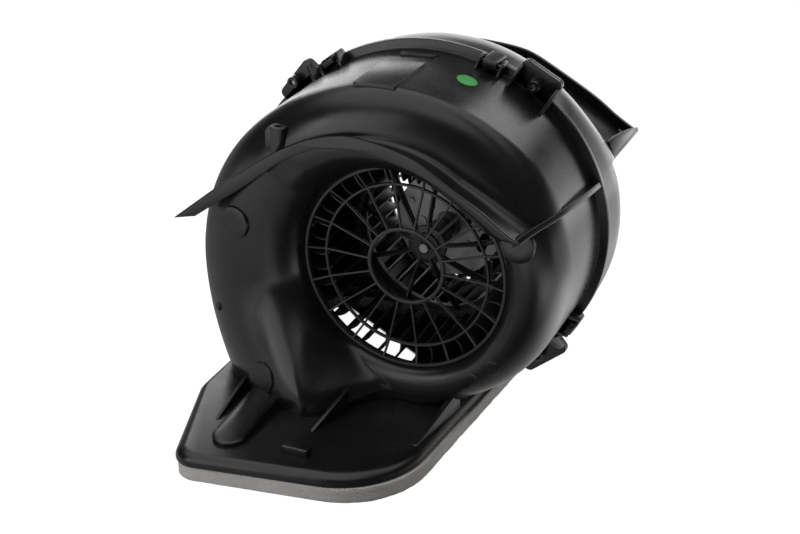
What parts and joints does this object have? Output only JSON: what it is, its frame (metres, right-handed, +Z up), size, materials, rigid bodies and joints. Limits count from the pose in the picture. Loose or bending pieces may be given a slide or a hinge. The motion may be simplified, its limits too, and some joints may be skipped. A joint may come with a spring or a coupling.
{
  "type": "double-inlet centrifugal blower with motor",
  "caption": "Scroll housing with two inlets, a spoked grille, a caged fan wheel on a DC motor, and a flanged base with a foam seal round the air outlet.",
  "frame": {"origin": "on the ground under the middle of the overall box", "axes": "+Z up, +Y along the fan axis from the grille side to the motor side, +X to the right seen from the grille"},
  "size_m": [0.2597, 0.2952, 0.233],
  "materials": {
    "casing_plastic": "satin moulded black",
    "guard_plastic": "satin moulded dark grey",
    "seal_foam": "open-cell grey foam",
    "label_paper": "plain blank label film",
    "green_ink": "flat green ink mark",
    "zinc_steel": "zinc plated",
    "fan_plastic": "moulded black",
    "phosphate_steel": "black phosphate",
    "shaft_steel": "ground",
    "bearing_bronze": "sintered",
    "can_steel": "drawn, zinc plated",
    "dark_plastic": "glass-filled moulding",
    "ferrite": "sintered ferrite",
    "lamination_steel": "stacked sheet",
    "copper": "enamelled copper",
    "card_board": "phenolic card",
    "brass": "stamped",
    "carbon": "pressed carbon",
    "spring_steel": "bright wire",
    "damper_rubber": "moulded rubber",
    "aluminium": "extruded",
    "tinned_pin": "tinned",
    "lead_insulation": "dull red insulation"
  },
  "bodies": {
    "housing": {"front_casing": "casing_plastic", "rear_casing": "casing_plastic", "inlet_guard": "guard_plastic", "base_gasket": "seal_foam", "rating_label": "label_paper", "inspection_dot": "green_ink", "casing_screws": "zinc_steel", "front_bearing": "bearing_bronze", "rear_bearing": "bearing_bronze", "motor_can": "can_steel", "motor_front_plate": "zinc_steel", "motor_rear_cap": "dark_plastic", "motor_screws": "zinc_steel", "motor_magnets": "ferrite", "brush_card": "card_board", "brush_holders": "brass", "brushes": "carbon", "brush_springs": "spring_steel", "motor_carrier": "casing_plastic", "damper_rings": "damper_rubber", "carrier_screws": "zinc_steel", "regulator_case": "dark_plastic", "regulator_heatsink": "aluminium", "regulator_screws": "zinc_steel", "power_socket": "dark_plastic", "socket_pins": "tinned_pin", "motor_leads": "lead_insulation"},
    "rotor": {"impeller": "fan_plastic", "impeller_clip": "phosphate_steel", "motor_shaft": "shaft_steel", "thrust_washers": "bearing_bronze", "armature_core": "lamination_steel", "armature_windings": "copper", "commutator": "copper"}
  },
  "joints": [
    {"name": "rotor_spin", "type": "hinge", "parent": "housing", "child": "rotor", "pos_m": [0.02165, 0.0586, 0.11], "axis": [0, 1, 0], "continuous": true}
  ]
}
